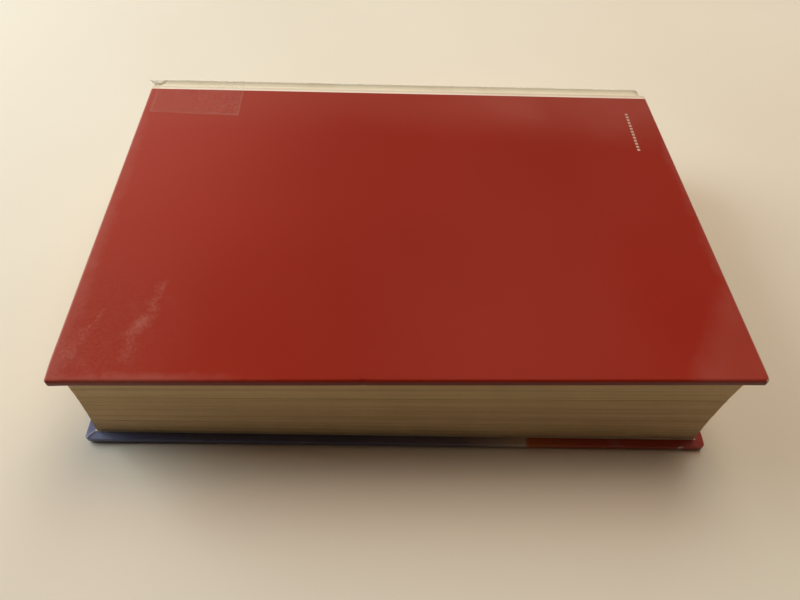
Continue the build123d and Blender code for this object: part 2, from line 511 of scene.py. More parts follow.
@dataclass(frozen=True)
class BackPrint(Laminate):
    """The deep red back cover with its cream margin at the joint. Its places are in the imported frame."""

    red: Colour = (0.274, 0.0125, 0.0028, 1.0)
    deep_red: Colour = (0.25, 0.0105, 0.002, 1.0)
    # Painted light: the lighter red towards the head, where the light falls.
    faded_red: Colour = (0.33, 0.024, 0.01, 1.0)
    # Painted shade: the darker red of the edge faces, for the shade that they lie in.
    rim_red: Colour = (0.17, 0.005, 0.001, 1.0)
    # Partly wear, partly painted highlight: the pale pink of the head and foot edges.
    edge_pink: Colour = (0.8, 0.52, 0.44, 1.0)
    # Pale pink of scuffed film, also used for painted reflection along the head edge and the joint.
    haze: Colour = (0.4, 0.14, 0.11, 1.0)
    paper: Colour = (0.55, 0.48, 0.38, 1.0)
    cream: Colour = (0.75, 0.68, 0.53, 1.0)
    # Painted highlight: the paler cream next to the red.
    pale_cream: Colour = (0.93, 0.83, 0.73, 1.0)
    mirror: float = 0.22
    top: float = 0.0542
    head_edge: float = -0.1292
    foot_edge: float = 0.1328
    fore_edge: float = -0.0923
    joint_edge: float = 0.0862
    red_cloud: Cloud = Cloud(9.0, 3.0)
    red_span: Span = (0.3, 0.7)
    # Painted light: where the red turns lighter, along the spine and across the cover.
    fade_along: Span = (0.0, -0.13)
    fade_across: Span = (-0.08, 0.0)
    fade_level: Span = (0.55, 0.45)
    rim: float = 0.0012
    edge_round: float = 0.0011
    # Partly wear, partly painted highlight: how strongly the edges turn pale pink.
    edge_worn: float = 0.55
    dash_across: Span = (0.1155, 0.1169)
    dash_along: Span = (0.038, 0.069)
    dash_slant: float = 0.03
    dash_pitch: float = 0.0024
    dash_beat: Span = (0.2, 0.8)
    dash_strength: float = 0.55
    beat_soft: float = 0.08
    print_soft: float = 0.0002
    margin: float = 0.00354
    margin_pale: Span = (0.0016, 0.0004)
    stir: float = 0.007
    stir_middle: float = 0.5
    stir_cloud: Cloud = Cloud(190.0, 3.0)
    grain: Cloud = Cloud(1100.0, 4.0, 0.6)
    grain_span: Span = (0.38, 0.66)
    broken_level: Span = (0.42, 0.16)
    # Painted reflection: the pale haze along the head edge.
    head_haze: Span = (0.008, 0.4)
    foot_haze: Span = (0.006, 0.22)
    fore_haze: Span = (0.005, 0.3)
    fore_haze_along: Span = (-0.03, -0.11)
    corner_slant: float = 0.57
    corner_span: Span = (0.15, 0.164)
    corner_haze: float = 0.26
    # Painted reflection: the pale haze along the joint, stronger towards the foot.
    joint_span: Span = (0.03, 0.08)
    joint_along: Span = (0.0, 0.11)
    joint_level: Span = (0.25, 0.12)
    patch_level: Span = (0.5, 0.6)
    handled: float = 0.025
    clean_along: Span = (0.088, 0.112)
    clean_across: Span = (-0.078, -0.02)
    clean_soft: Span = (0.014, 0.02)
    mottle: float = 0.26
    mottle_along: Span = (-0.07, -0.12)
    mottle_across: Span = (-0.01, -0.08)
    streaks: tuple[Streak, ...] = (
        Streak((-0.0955, -0.046), (-0.0977, -0.0545), 0.003, 0.52),
        Streak((-0.0977, -0.0545), (-0.0975, -0.0625), 0.0032, 0.64),
        Streak((-0.0975, -0.0625), (-0.1012, -0.0694), 0.0038, 0.75),
        Streak((-0.1012, -0.0694), (-0.104, -0.073), 0.004, 0.72),
        Streak((-0.1035, -0.0725), (-0.1016, -0.0785), 0.0045, 0.56),
        Streak((-0.1016, -0.0785), (-0.104, -0.083), 0.0045, 0.56),
        Streak((-0.1157, -0.061), (-0.1205, -0.0725), 0.0012, 0.6),
        Streak((-0.1195, -0.07), (-0.1245, -0.084), 0.0034, 0.5),
    )

    def dashes(self, wires: Wires, x: Feed, y: Feed) -> NodeSocket:
        """Where the row of plain pale dashes near the foot lies.

        Args:
            wires: The material's wires.
            x: The place along the spine.
            y: The place across the cover.

        Returns:
            A mask times the dashes' strength.
        """
        slant = wires.less(x, wires.times(y, self.dash_slant))
        row = wires.band(slant, *self.dash_across, self.print_soft)
        length = wires.band(y, *self.dash_along, self.print_soft)
        beat = wires.math("FRACT", wires.over(y, self.dash_pitch))
        ticks = wires.band(beat, *self.dash_beat, self.beat_soft)
        return wires.times(ticks, row, length, self.dash_strength)

    def print_colour(self, wires: Wires, place: Feed) -> NodeSocket:
        """Red painted lighter towards the head, a rim in painted shade, pale edges of wear and painted
        highlight, the dashes and the cream margin with a painted highlight.

        Args:
            wires: The material's wires.
            place: The place on the object.

        Returns:
            The printed colour.
        """
        x, y, z = wires.split(place)
        cloud = wires.ease(wires.noise(place, self.red_cloud), *self.red_span)
        fresh = wires.mix(cloud, self.deep_red, self.red)
        # Painted light: the red is lighter towards the head and away from the fore edge, where the light
        # falls.
        across = wires.level(wires.ease(y, *self.fade_across), *self.fade_level)
        faded = wires.times(wires.ease(x, *self.fade_along), across)
        # Painted shade: below the top face the edges turn a darker red.
        rim = wires.ease(z, self.top - self.rim / 3, self.top - self.rim)
        rim_shaded = wires.mix(rim, wires.mix(faded, fresh, self.faded_red), self.rim_red)
        # Partly wear, partly painted highlight: the upper rounding of the head and foot edges turns pale
        # pink, where the film catches light.
        ends = wires.most(*(
            wires.ease(x, edge + inwards * self.edge_round, edge + inwards * self.edge_round / 3)
            for edge, inwards in ((self.head_edge, 1), (self.foot_edge, -1))
        ))
        upper = wires.ease(z, self.top - self.rim, self.top - self.rim / 2)
        edge_worn_and_lit = wires.mix(wires.times(ends, upper, self.edge_worn), rim_shaded, self.edge_pink)
        marked = wires.mix(self.dashes(wires, x, y), edge_worn_and_lit, self.cream)
        start = self.joint_edge - self.margin
        # Painted highlight: the cream margin is paler in a thin band along the red, where the edge catches
        # light.
        pale = wires.ease(y, *(start + inset for inset in self.margin_pale))
        margin = wires.ease(y, start - self.print_soft, start + self.print_soft)
        return wires.mix(margin, marked, wires.mix(pale, self.cream, self.pale_cream))

    def stirred(self, wires: Wires, place: Feed) -> NodeSocket:
        """Shift a place by clouds, so that no mark has a straight edge.

        Args:
            wires: The material's wires.
            place: The place on the object.

        Returns:
            The shifted place.
        """
        clouds = wires.clouds(place, self.stir_cloud).outputs["Color"]
        shift = wires.ways("SUBTRACT", clouds, (self.stir_middle,) * 3)
        return wires.ways("MULTIPLY_ADD", shift.outputs[0], (self.stir,) * 3, place).outputs[0]

    def edge_haze(self, wires: Wires, x: Feed, y: Feed) -> NodeSocket:
        """Haze along the edges, at the joint's foot end and over the corner at the foot. Along the head edge
        and the joint it is painted reflection of the bright room; elsewhere it is scuffed film.

        Args:
            wires: The material's wires.
            x: The place along the spine.
            y: The place across the cover.

        Returns:
            The haze, from 0 to 1.
        """
        # Painted reflection along the head edge; pale haze at the foot.
        ends = [
            wires.times(wires.ease(x, edge + inwards * reach, edge), strength)
            for edge, inwards, (reach, strength) in (
                (self.head_edge, 1, self.head_haze),
                (self.foot_edge, -1, self.foot_haze),
            )
        ]
        reach, strength = self.fore_haze
        near_head = wires.ease(x, *self.fore_haze_along)
        fore = wires.times(wires.ease(y, self.fore_edge + reach, self.fore_edge), near_head, strength)
        slant = wires.less(x, wires.times(y, self.corner_slant))
        corner = wires.times(wires.ease(slant, *self.corner_span), self.corner_haze)
        # Painted reflection: pale haze along the joint, stronger towards the foot.
        to_foot = wires.level(wires.ease(x, *self.joint_along), *self.joint_level)
        joint = wires.times(wires.ease(y, *self.joint_span), to_foot)
        return wires.most(joint, fore, corner, *ends)

    def scuffed(self, wires: Wires, place: Feed, marks: Marks) -> Feed:
        """Pale streaks near the head's fore corner, haze along the edges that is partly painted reflection,
        and a cleaner patch near the foot.

        Args:
            wires: The material's wires.
            place: The place on the object.
            marks: The outputs of the handling effect.

        Returns:
            How far the film is hazed by scuffing and by painted reflection, from 0 to 1.
        """
        bent = self.stirred(wires, place)
        x, y, _ = wires.split(bent)
        grain = wires.ease(wires.noise(place, self.grain), *self.grain_span)
        broken = wires.level(wires.plus(marks["Smear"], grain), *self.broken_level)
        streaks = wires.most(*(streak.mask(wires, bent) for streak in self.streaks))
        face = wires.ease(wires.split(place)[2], self.top - self.rim, self.top - self.rim / 4)
        patches = wires.level(marks["Blotch"], *self.patch_level)
        patchy = wires.times(self.edge_haze(wires, x, y), patches, face)
        soft_x, soft_y = self.clean_soft
        clean_x = wires.band(x, *self.clean_along, soft_x)
        clean = wires.times(clean_x, wires.band(y, *self.clean_across, soft_y))
        handled = wires.times(wires.less(1.0, clean), self.handled)
        rubbed = wires.times(wires.ease(x, *self.mottle_along), wires.ease(y, *self.mottle_across))
        hazy = wires.plus(wires.most(patchy, handled), wires.times(rubbed, broken, self.mottle))
        return wires.math("MINIMUM", wires.plus(wires.times(streaks, broken), hazy), 1.0)


@dataclass(frozen=True)
class FrontPrint(Laminate):
    """The front cover: blue that fades to pale towards the foot, then a field of orange and red."""

    half: float = 0.13
    lean: float = 0.0
    haze: Colour = (0.36, 0.37, 0.46, 1.0)
    paper: Colour = (0.6, 0.58, 0.58, 1.0)
    corner_along: Span = (-0.11, -0.126)
    corner_across: Span = (-0.08, -0.09)
    corner_haze: float = 0.3
    stops: tuple[tuple[float, Colour], ...] = (
        (0.0, (0.105, 0.125, 0.27, 1.0)),
        (0.42, (0.09, 0.095, 0.22, 1.0)),
        (0.6, (0.17, 0.155, 0.23, 1.0)),
        (0.705, (0.56, 0.5, 0.47, 1.0)),
        (0.708, (0.5, 0.13, 0.035, 1.0)),
        (0.8, (0.4, 0.05, 0.025, 1.0)),
        (1.0, (0.36, 0.03, 0.02, 1.0)),
    )

    def scuffed(self, wires: Wires, place: Feed, marks: Marks) -> Feed:
        """Faint smears, and a scuffed corner at the head's fore edge.

        Args:
            wires: The material's wires.
            place: The place on the object.
            marks: The outputs of the handling effect.

        Returns:
            How far the film is scuffed, from 0 to 1.
        """
        x, y, _ = wires.split(place)
        corner = wires.times(wires.ease(x, *self.corner_along), wires.ease(y, *self.corner_across))
        return wires.most(wires.times(corner, self.corner_haze), super().scuffed(wires, place, marks))

    def print_colour(self, wires: Wires, place: Feed) -> NodeSocket:
        """The fields of colour along the cover's height, from the head at 0 to the foot at 1.

        Args:
            wires: The material's wires.
            place: The place on the object.

        Returns:
            The printed colour.
        """
        along = wires.split(wires.stretch(place, (1.0, 1.0, 1.0), self.lean))[0]
        share = wires.node("ShaderNodeMapRange", {0: along, 1: -self.half, 2: self.half}).outputs[0]
        ramp = wires.node("ShaderNodeValToRGB", {0: share})
        elements = ramp.color_ramp.elements
        while len(elements) < len(self.stops):
            elements.new(1.0)
        for element, (position, colour) in zip(elements, self.stops):
            element.position = position
            element.color = colour
        return ramp.outputs[0]


@dataclass(frozen=True)
class CreamPrint(Laminate):
    """The cream covering of the spine and the joints, a little soiled."""

    cream: Colour = (0.75, 0.68, 0.53, 1.0)
    soiled: Colour = (0.6, 0.51, 0.36, 1.0)
    paper: Colour = (0.92, 0.9, 0.83, 1.0)
    haze: Colour = (0.76, 0.68, 0.53, 1.0)
    soil_cloud: Cloud = Cloud(45.0, 5.0, 0.65)
    soil_span: Span = (0.45, 0.75)
    soil: float = 0.5

    def print_colour(self, wires: Wires, place: Feed) -> NodeSocket:
        """Cream with cloudy soiling."""
        cloud = wires.ease(wires.noise(place, self.soil_cloud), *self.soil_span)
        return wires.mix(wires.times(cloud, self.soil), self.cream, self.soiled)


@dataclass(frozen=True)
class Paper(Finish):
    """Uncoated paper or board. As it stands, it is the endpaper."""

    pale: Colour = (0.84, 0.79, 0.66, 1.0)
    dark: Colour = (0.74, 0.68, 0.54, 1.0)
    tooth: float = 1800.0
    tone_span: Span = (0.36, 0.64)
    roughness: float = 0.82
    relief: float = 0.00006

    def build(self) -> Material:
        """Make the paper.

        Returns:
            The material.
        """
        material, wires, shader, place = self.start()
        fibre = self.effect(wires, "paper_fibre", place, Tooth=self.tooth)
        tone = wires.ease(fibre["Tone"], *self.tone_span)
        self.coat(wires, shader, wires.mix(tone, self.dark, self.pale), self.roughness)
        self.bump(wires, shader, fibre["Height"], self.relief)
        return material


@dataclass(frozen=True)
class Greyboard(Paper):
    """The grey board of the covers and the card strip of the spine."""

    pale: Colour = (0.45, 0.4, 0.33, 1.0)
    dark: Colour = (0.3, 0.265, 0.215, 1.0)
    tooth: float = 900.0
    relief: float = 0.00015


@dataclass(frozen=True)
class Kraft(Paper):
    """The brown paper that lines the spine of the pages."""

    pale: Colour = (0.47, 0.34, 0.21, 1.0)
    dark: Colour = (0.36, 0.25, 0.15, 1.0)
    tooth: float = 1200.0


@dataclass(frozen=True)
class PageEdges(Finish):
    """The trimmed edges of many leaves, with a fine line for each few leaves."""

    # Partly painted shade: the tan of aged paper, darkened and warmed for the shade on the fore edge, which
    # faces away from the lamps.
    pale: Colour = (0.7, 0.515, 0.295, 1.0)
    dark: Colour = (0.48, 0.33, 0.165, 1.0)
    layering: tuple[float, float, float] = (0.011, 0.011, 1.0)
    leaves: Cloud = Cloud(2400.0, 1.0)
    gathers: Cloud = Cloud(430.0, 2.0, 0.6)
    leaf_share: float = 0.3
    line_span: Span = (0.3, 0.7)
    tooth: float = 1300.0
    soil_span: Span = (0.3, 0.75)
    soil_share: float = 0.3
    roughness: float = 0.85
    relief: Span = (0.0003, 0.5)

    def build(self) -> Material:
        """Make the page edges.

        Returns:
            The material.
        """
        material, wires, shader, place = self.start()
        layered = wires.stretch(place, self.layering)
        leaves = wires.times(wires.noise(layered, self.leaves), self.leaf_share)
        lines = wires.plus(leaves, wires.times(wires.noise(layered, self.gathers), 1 - self.leaf_share))
        fibre = self.effect(wires, "paper_fibre", place, Tooth=self.tooth)
        soil = wires.ease(fibre["Tone"], *self.soil_span)
        lined = wires.times(wires.ease(lines, *self.line_span), 1 - self.soil_share)
        tone = wires.level(soil, self.soil_share, lined)
        self.coat(wires, shader, wires.mix(tone, self.dark, self.pale), self.roughness)
        self.bump(wires, shader, lines, *self.relief)
        return material


@dataclass(frozen=True)
class Woven(Finish):
    """Plain-woven cloth or wound thread. As it stands, it is the open cloth on the spine."""

    pale: Colour = (0.8, 0.75, 0.63, 1.0)
    dark: Colour = (0.5, 0.45, 0.35, 1.0)
    threads: float = 1100.0
    waver: float = 0.6
    roughness: float = 0.8
    relief: float = 0.0002

    def build(self) -> Material:
        """Make the cloth.

        Returns:
            The material.
        """
        material, wires, shader, place = self.start()
        feeds = {"Vector": place, "Scale": self.threads / math.tau, "Distortion": self.waver}
        weave = wires.times(*(
            wires.node("ShaderNodeTexWave", feeds, bands_direction=direction).outputs["Fac"]
            for direction in ("X", "Z")
        ))
        self.coat(wires, shader, wires.mix(weave, self.dark, self.pale), self.roughness)
        self.bump(wires, shader, weave, self.relief)
        return material


@dataclass(frozen=True)
class BandThread(Woven):
    """The finer thread of the head and tail bands."""

    pale: Colour = (0.84, 0.79, 0.68, 1.0)
    dark: Colour = (0.66, 0.6, 0.49, 1.0)
    threads: float = 2600.0


@dataclass(frozen=True)
class ClearTape(Finish):
    """Yellowed clear film: nearly invisible where it is stuck down, milky at its edges and bubbles."""

    film: Colour = (0.86, 0.77, 0.66, 1.0)
    alpha: float = 0.011
    edge_alpha: float = 0.028
    bubble_alpha: float = 0.034
    bubbles: Cloud = Cloud(620.0, 4.0, 0.6)
    bubble_span: Span = (0.5, 0.68)
    bubbled: Span = (-0.126, -0.095)
    lift_level: Span = (0.7, 0.3)
    rough_level: Span = (0.15, 0.3)
    relief: Span = (0.0005, 0.4)

    def build(self) -> Material:
        """Make the tape.

        Returns:
            The material.
        """
        material, wires, shader, place = self.start()
        marks = self.effect(wires, "handling", place)
        self.coat(wires, shader, self.film, wires.level(marks["Blotch"], *self.rough_level))
        lifted = wires.level(wires.ease(wires.split(place)[0], *self.bubbled), *self.lift_level)
        bubbles = wires.times(wires.ease(wires.noise(place, self.bubbles), *self.bubble_span), lifted)
        edges = wires.times(self.wear(wires), self.edge_alpha)
        milky = wires.plus(edges, wires.times(bubbles, self.bubble_alpha), self.alpha)
        wires.feed(shader.inputs["Alpha"], milky)
        self.bump(wires, shader, marks["Ripple"], *self.relief)
        return material


@dataclass(frozen=True)
class PaleTable(Finish):
    """The plain pale surface that the book lies on."""

    pale: Colour = (0.81, 0.75, 0.65, 1.0)
    dull: Colour = (0.775, 0.71, 0.605, 1.0)
    backdrop: Colour = (0.78, 0.71, 0.6, 1.0)
    fade: Span = (0.36, 0.8)
    cloud: Cloud = Cloud(3.0, 3.0)
    cloud_span: Span = (0.35, 0.65)
    roughness: float = 0.55

    def build(self) -> Material:
        """Make the surface, which fades into the backdrop far from the book where the camera sees it.

        Returns:
            The material.
        """
        material, wires, shader, place = self.start()
        cloud = wires.ease(wires.noise(place, self.cloud), *self.cloud_span)
        self.coat(wires, shader, wires.mix(cloud, self.dull, self.pale), self.roughness)
        away = wires.ways("LENGTH", place).outputs["Value"]
        seen = wires.node("ShaderNodeLightPath").outputs["Is Camera Ray"]
        share = wires.times(wires.ease(away, *self.fade), seen)
        glow = wires.node("ShaderNodeEmission", {"Color": self.backdrop}).outputs[0]
        faded = wires.node("ShaderNodeMixShader", {0: share, 1: shader.outputs[0], 2: glow}).outputs[0]
        wires.feed(material.node_tree.nodes["Material Output"].inputs["Surface"], faded)
        return material


def arc_shares(count: int) -> list[float]:
    """Even steps from 0 to 1, both ends among them."""
    return [step / count for step in range(count + 1)]


def eased_shares(count: int) -> list[float]:
    """Steps from 0 to 1 that crowd towards both ends."""
    return [(1 - math.cos(math.pi * step / count)) / 2 for step in range(count + 1)]


def falloff(distance: float, reach: float) -> float:
    """A bell that is 1 at no distance and nearly 0 at twice the reach."""
    return math.exp(-((distance / reach) ** 2))


def stand(name: str, data: bpy.types.ID) -> Object:
    """Put a new object into the scene.

    Args:
        name: The object's name.
        data: Its mesh, lamp or camera.

    Returns:
        The object.
    """
    thing = bpy.data.objects.new(name, data)
    bpy.context.scene.collection.objects.link(thing)
    return thing


def smooth_outward(mesh: bpy.types.Mesh) -> None:
    """Turn a mesh's normals outwards and shade it smooth between its sharp edges.

    Args:
        mesh: The mesh.
    """
    work = bmesh.new()
    work.from_mesh(mesh)
    bmesh.ops.recalc_face_normals(work, faces=work.faces)
    work.to_mesh(mesh)
    work.free()
    mesh.shade_smooth()
    mesh.set_sharp_from_angle(angle=SHARP_ANGLE)


def declare(piece: Object, body: str, slot: str, *nodes: str) -> Object:
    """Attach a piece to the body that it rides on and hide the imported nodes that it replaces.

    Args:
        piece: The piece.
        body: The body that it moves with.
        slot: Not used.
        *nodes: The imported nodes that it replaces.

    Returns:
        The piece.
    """
    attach(piece, body)
    if nodes:
        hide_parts(*nodes)
    return piece


@dataclass
class Draft:
    """A closed mesh in the making, in bench coordinates, with a wear value for each point."""

    bench: Bench
    points: list[Vector] = field(default_factory=list)
    wear: list[float] = field(default_factory=list)
    faces: list[tuple[int, ...]] = field(default_factory=list)

    def loft(self, rings: Sequence[Sequence[tuple[Vector, float]]]) -> Draft:
        """Join rings of points, each with its wear, and close the first and the last ring.

        Args:
            rings: Rings of as many points each.

        Returns:
            The draft itself.
        """
        size = len(rings[0])
        first = len(self.points)
        for ring in rings:
            self.points += [point for point, _ in ring]
            self.wear += [clamp(wear) for _, wear in ring]
        for row in range(len(rings) - 1):
            a = first + row * size
            b = a + size
            self.faces += [(a + i, a + (i + 1) % size, b + (i + 1) % size, b + i) for i in range(size)]
        last = first + (len(rings) - 1) * size
        self.faces.append(tuple(range(first + size - 1, first - 1, -1)))
        self.faces.append(tuple(range(last, last + size)))
        return self

    def finish(self, name: str, material: Material, side: Side = Side.BACK) -> Object:
        """Make the object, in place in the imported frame.

        Args:
            name: The piece's name.
            material: Its finish.
            side: The cover's side that it is made for.

        Returns:
            The finished piece.
        """
        b = self.bench
        mesh = bpy.data.meshes.new(name)
        mesh.from_pydata([b.place(b.on_side(point, side)) for point in self.points], [], self.faces)
        mesh.attributes.new(WEAR, "FLOAT", "POINT").data.foreach_set("value", self.wear)
        mesh.materials.append(material)
        smooth_outward(mesh)
        return stand(name, mesh)


@dataclass(frozen=True)
class Plan:
    """A rectangle with rounded corners, which can be drawn in by any distance."""

    x0: float
    x1: float
    y0: float
    y1: float
    radius: float
    arc_steps: int = 8
    run_steps: int = 40
    extra_x: tuple[float, ...] = ()
    least_radius_share: float = 0.12

    def outline(self, inset: float, spine_inset: float | None = None) -> list[Span]:
        """The outline drawn in by a distance, from the head's fore corner round by the foot.

        Args:
            inset: How far it is drawn in.
            spine_inset: How far on the spine side, where that differs.

        Returns:
            Its points, as many for any inset.
        """
        radius = max(self.radius - inset, self.radius * self.least_radius_share)
        x0, x1, y0 = self.x0 + inset, self.x1 - inset, self.y0 + inset
        y1 = self.y1 - (inset if spine_inset is None else spine_inset)
        centres = (
            (x0 + radius, y0 + radius),
            (x1 - radius, y0 + radius),
            (x1 - radius, y1 - radius),
            (x0 + radius, y1 - radius),
        )
        points: list[Span] = []
        for corner, (cx, cy) in enumerate(centres):
            for share in arc_shares(self.arc_steps):
                angle = math.pi + (corner + share) * math.pi / 2
                points.append((cx + radius * math.cos(angle), cy + radius * math.sin(angle)))
            points += self.run(points[-1], centres[(corner + 1) % len(centres)], corner, radius)
        return points

    def run(self, start: Span, centre: Span, corner: int, radius: float) -> list[Span]:
        """The points between two corners' arcs, without the ends.

        Args:
            start: Where the run starts.
            centre: The centre of the next corner's arc.
            corner: The number of the corner before the run.
            radius: The arcs' radius.

        Returns:
            The points of the run.
        """
        angle = math.pi + (corner + 1) * math.pi / 2
        end = (centre[0] + radius * math.cos(angle), centre[1] + radius * math.sin(angle))
        shares = eased_shares(self.run_steps)[1:-1]
        if corner == 0:
            shares += [(x - start[0]) / (end[0] - start[0]) for x in self.extra_x]
        return [
            (start[0] + (end[0] - start[0]) * s, start[1] + (end[1] - start[1]) * s) for s in sorted(shares)
        ]


@dataclass(frozen=True)
class Knock:
    """A bumped place on a cover: where it is, its reach, which way it gave, its wear and its worn fold."""

    x: float
    y: float
    reach: float
    push: tuple[float, float, float] = (0.0, 0.0, 0.0)
    worn: float = 0.0
    fold: float = 0.0

    def away(self, point: Vector) -> float:
        """How far a point is from the knock, in plan."""
        return math.hypot(point.x - self.x, point.y - self.y)

    def move(self, point: Vector) -> Vector:
        """Move a point as far as the knock moved it."""
        return point + Vector(self.push) * falloff(self.away(point), self.reach)

    def rub(self, point: Vector) -> float:
        """How worn a point is by the knock."""
        return self.worn * falloff(self.away(point), self.reach)


@dataclass
class Cover:
    """One cover: the board in its printed covering and the pastedown inside it."""

    bench: Bench
    side: Side
    corner_radius: float = 0.0014
    covering: float = 0.00025
    least_radius: float = 0.0002
    outer_edge_radius: float = 0.0011
    inner_edge_radius: float = 0.00025
    turn_in: float = 0.015
    margin: float = 0.0035
    mitre_height: float = 0.00022
    mitre_reach: float = 0.00045
    fold_width: float = 0.000075
    paper: float = 0.0002
    turn_in_relief: float = 0.00013
    turn_in_slope: float = 0.0006
    sunk_run: float = 0.004
    arc_steps: int = 5
    knock_steps: int = 4
    inner_insets: tuple[float, ...] = (0.0075, 0.0045, 0.003, 0.002, 0.0012)
    inner_wear: tuple[float, ...] = (0.0, 0.0, 0.0, 0.02, 0.1)
    outer_insets: tuple[float, ...] = (0.0016, 0.0026, 0.0045)
    outer_wear: tuple[float, ...] = (0.2, 0.04, 0.0)
    inner_edge_wear: Span = (0.3, 0.2)
    outer_edge_wear: Span = (0.5, 0.5)
    base_wear: float = 0.3
    rub_wear: float = 0.45
    rub_spread: float = 4.0
    dent_x: float = -0.0191
    scrape_from_foot: float = 0.0105

    @property
    def knocks(self) -> tuple[Knock, ...]:
        """The knocks that the cover has taken along its fore edge.

        Returns:
            The knocks of this side.
        """
        head, foot, fore = -self.bench.cover_half, self.bench.cover_half, self.bench.cover_fore
        if self.side is Side.BACK:
            return (
                Knock(head, fore, reach=0.005, push=(0.0001, 0.0001, -0.0005)),
                Knock(foot, fore, reach=0.0016, push=(-0.0001, 0.0001, -0.0003), worn=0.5),
                Knock(self.dent_x, fore, reach=0.001, push=(0.0, 0.0003, -0.0003)),
            )
        return (
            Knock(head, fore, reach=0.002, push=(0.0002, 0.0002, -0.0003), worn=0.35, fold=0.0085),
            Knock(foot, fore, reach=0.0022, push=(-0.0004, 0.0003, -0.0002), worn=0.1),
            Knock(foot - self.scrape_from_foot, fore, reach=0.0026, worn=0.5),
        )

    @property
    def plan(self) -> Plan:
        """The cover's outline, with more points about a knock between its corners.

        Returns:
            The plan.
        """
        b = self.bench
        around = tuple(
            knock.x + knock.reach * step / 2
            for knock in self.knocks
            if abs(knock.x) < b.cover_half / 2
            for step in range(-self.knock_steps, self.knock_steps + 1)
        )
        size = (-b.cover_half, b.cover_half, b.cover_fore, b.cover_spine)
        return Plan(*size, self.corner_radius, extra_x=around)

    def profile(self, within: float) -> list[tuple[float, float, float]]:
        """The cover's section, from its inner face to its outer one.

        Args:
            within: How far under the covering's surface the section lies.

        Returns:
            The distance in from the outline, the height and the wear of each ring.
        """
        low, high = self.bench.case_inner + within, self.bench.top - within
        inner = max(self.inner_edge_radius - within, self.least_radius)
        outer = self.outer_edge_radius - within
        under = [(self.turn_in, low, 0.0)]
        under += [(inset, low, wear) for inset, wear in zip(self.inner_insets, self.inner_wear)]
        below, above = [], []
        for share in arc_shares(self.arc_steps):
            c, s = math.cos(share * math.pi / 2), math.sin(share * math.pi / 2)
            base, gain = self.inner_edge_wear
            below.append((within + inner - inner * s, low + inner - inner * c, base + gain * share))
            base, gain = self.outer_edge_wear
            wear = base + gain * math.sin(share * math.pi)
            above.append((within + outer - outer * c, high - outer + outer * s, wear))
        over = [(inset, high, wear) for inset, wear in zip(self.outer_insets, self.outer_wear)]
        return under + below + above + over + [(self.turn_in, high, 0.0)]

    def from_corner(self, point: Vector) -> Span:
        """How far a point is from the nearer end and from the fore edge."""
        return self.bench.cover_half - abs(point.x), point.y - self.bench.cover_fore

    def mitre(self, point: Vector) -> float:
        """How far the folded corner of the turn-ins stands up at a point of the inner face.

        Args:
            point: The point.

        Returns:
            The height of the fold there.
        """
        along, across = self.from_corner(point)
        ridge = falloff(along - across, self.mitre_reach)
        ridge *= falloff(max(along - self.margin, 0.0), self.margin / 2)
        return self.mitre_height * ridge if along + across > self.corner_radius else 0.0

    def fold_wear(self, point: Vector) -> float:
        """How worn the fold of a turned-in corner is at a point.

        Args:
            point: The point.

        Returns:
            1 on the fold near a knock that wore it, else 0.
        """
        along, across = self.from_corner(point)
        on_fold = abs(along - across) < self.fold_width and point.z <= self.bench.case_inner
        return float(on_fold and any(knock.away(point) < knock.fold for knock in self.knocks))

    def shell(self, within: float) -> Draft:
        """Draw a closed shell of the cover with its knocks.

        Args:
            within: How far under the covering's surface it lies.

        Returns:
            The shell, still to be finished.
        """
        plan, knocks = self.plan, self.knocks
        rings = []
        for inset, height, wear in self.profile(within):
            ring = []
            for x, y in plan.outline(inset):
                point = Vector((x, y, height))
                if height <= self.bench.case_inner:
                    point.z -= self.mitre(point)
                rub = sum(knock.rub(point) for knock in knocks)
                spread = self.rub_wear * min(wear * self.rub_spread, 1.0)
                worn = max(wear * (self.base_wear + rub) + spread * rub, self.fold_wear(point))
                for knock in knocks:
                    point = knock.move(point)
                ring.append((point, worn))
            rings.append(ring)
        return Draft(self.bench).loft(rings)

    def skin(self, material: Material) -> Object:
        """Make the printed covering."""
        piece = self.shell(0.0).finish(f"{self.side.word}_cover_skin", material, self.side)
        return declare(piece, self.side.value, f"{self.side.word}_cover", f"{self.side.word}_cover_wrap")

    def core(self, material: Material) -> Object:
        """Make the board, with the same knocks as its covering."""
        piece = self.shell(self.covering).finish(f"{self.side.word}_board_core", material, self.side)
        return declare(piece, self.side.value, "board", f"{self.side.word}_board")

    def pastedown(self, material: Material) -> Object:
        """Make the endpaper that is glued inside the cover, sunk a little within the turn-ins.

        Args:
            material: The endpaper.

        Returns:
            The piece.
        """
        b = self.bench
        half = b.cover_half - self.margin
        size = (-half, half, b.cover_fore + self.margin, b.cover_spine - self.paper)
        plan = Plan(*size, self.corner_radius / 4)
        low, high = b.leaf_high, b.case_inner
        step = self.turn_in - self.margin
        sunk = low + self.turn_in_relief
        edge = self.paper / 4
        section = (
            (step, high),
            (0.0, high),
            (0.0, low + edge),
            (edge, low),
            (step - self.turn_in_slope, low),
            (step + self.turn_in_slope, sunk),
            (step + self.sunk_run, sunk),
        )
        rings = [[(Vector((x, y, z)), 0.0) for x, y in plan.outline(inset, 0.0)] for inset, z in section]
        piece = Draft(b).loft(rings).finish(f"{self.side.word}_pastedown_sheet", material, self.side)
        return declare(piece, self.side.value, "endpaper", f"{self.side.word}_pastedown")


